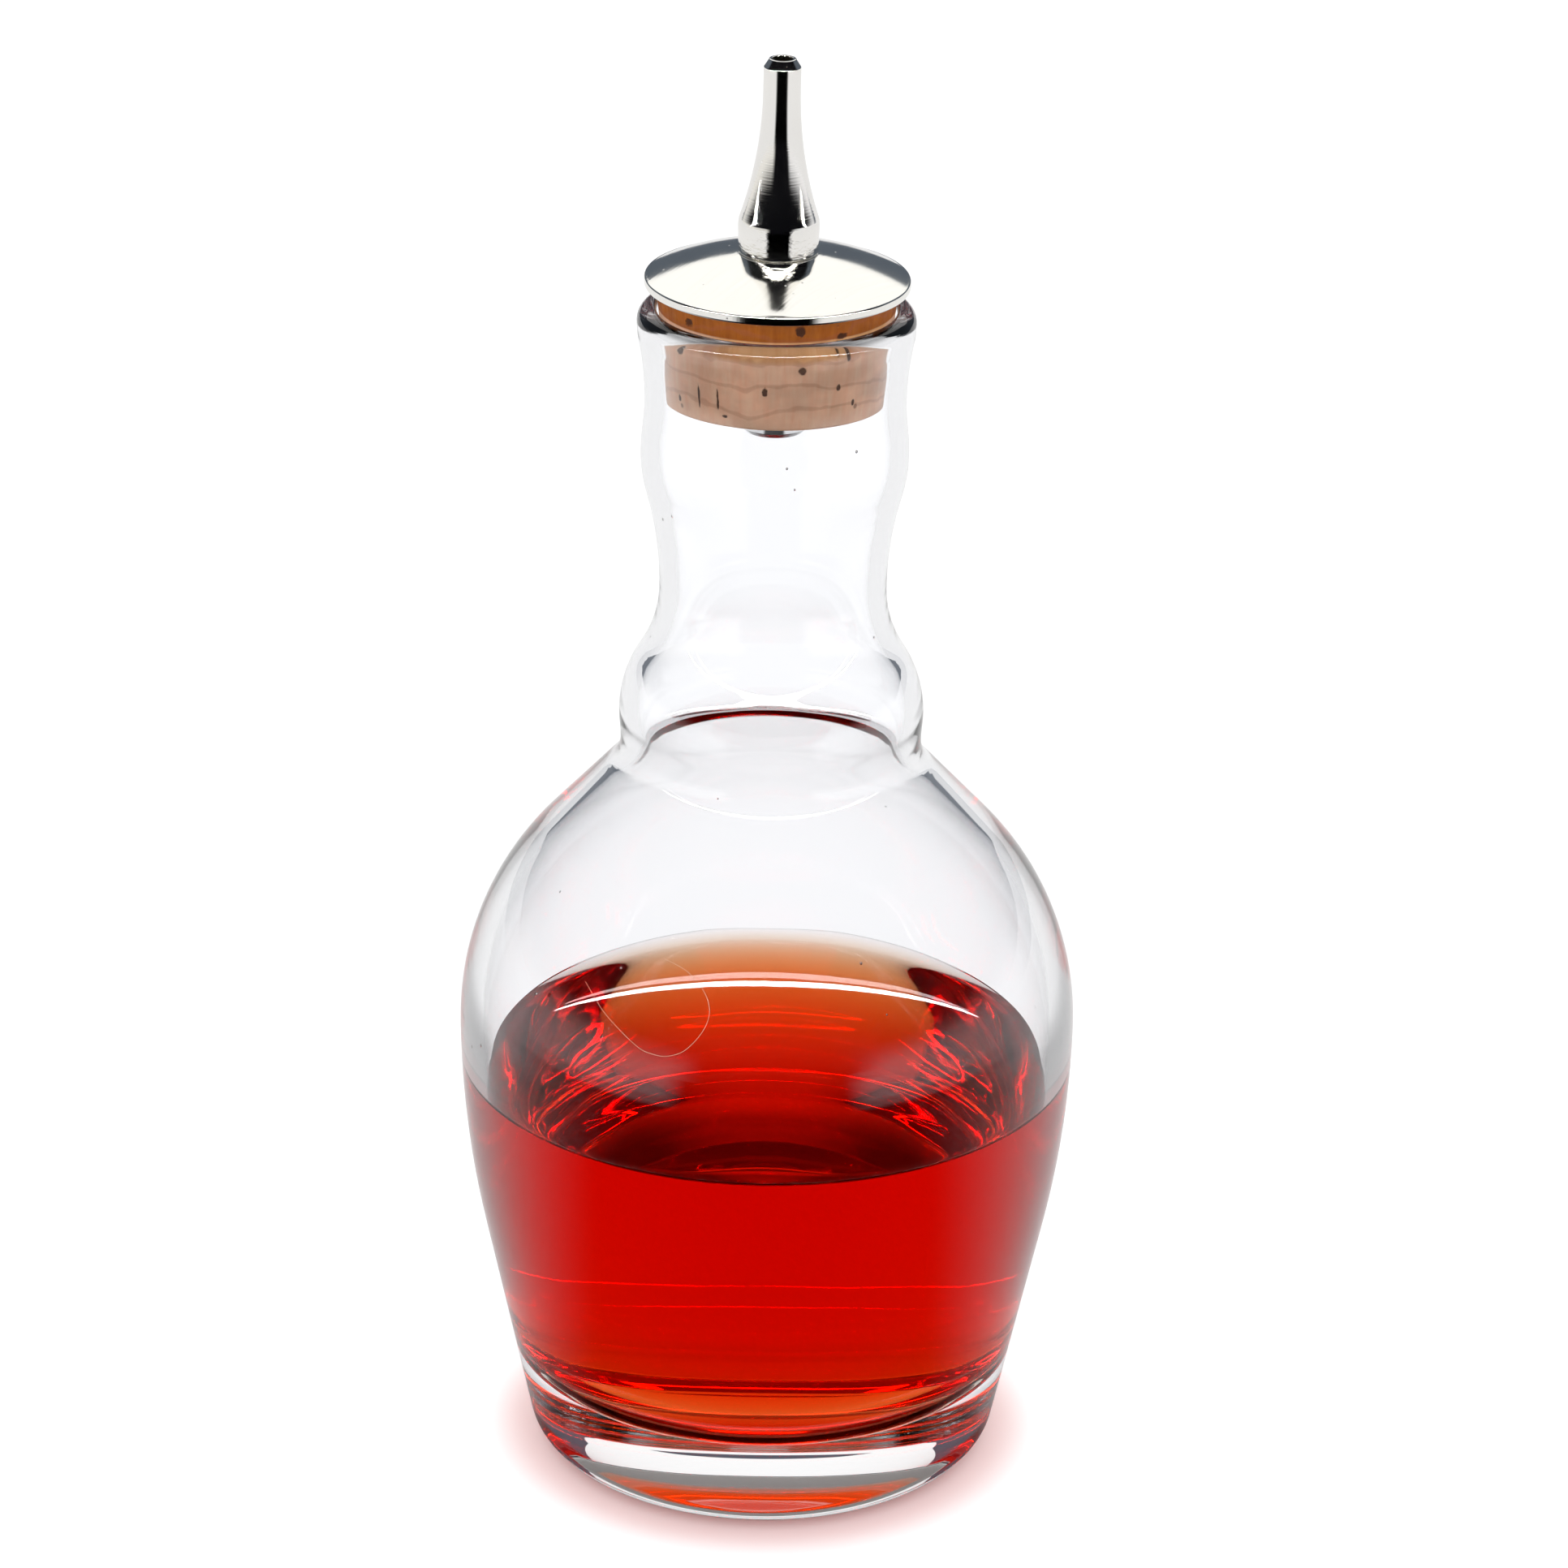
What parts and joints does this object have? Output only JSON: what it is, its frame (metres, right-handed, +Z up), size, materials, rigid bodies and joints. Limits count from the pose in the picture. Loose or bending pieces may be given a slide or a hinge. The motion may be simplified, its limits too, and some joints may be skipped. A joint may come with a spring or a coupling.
{
  "type": "bitters bottle",
  "caption": "Round-bellied clear glass bottle half full of red bitters, stopped by a cork that carries a domed metal disc and a slender dasher spout.",
  "frame": {"origin": "middle of the standing face, on the surface that the bottle stands on", "axes": "+Z up along the bottle's axis; the bottle is round, and -Y is the side shown"},
  "size_m": [0.072, 0.072, 0.1696],
  "materials": {
    "glass": "clear, faintly cool, fire-polished",
    "drink": "clear deep red, thin edges orange",
    "cork": "matte natural cork",
    "cap_metal": "fine circular brushing",
    "spout_metal": "polished, with faint turning marks",
    "tube_metal": "polished"
  },
  "bodies": {
    "root": {"glass_bottle": "glass", "liquid": "drink", "cork": "cork", "cap_disc": "cap_metal", "spout": "spout_metal", "pour_tube": "tube_metal"}
  },
  "joints": []
}
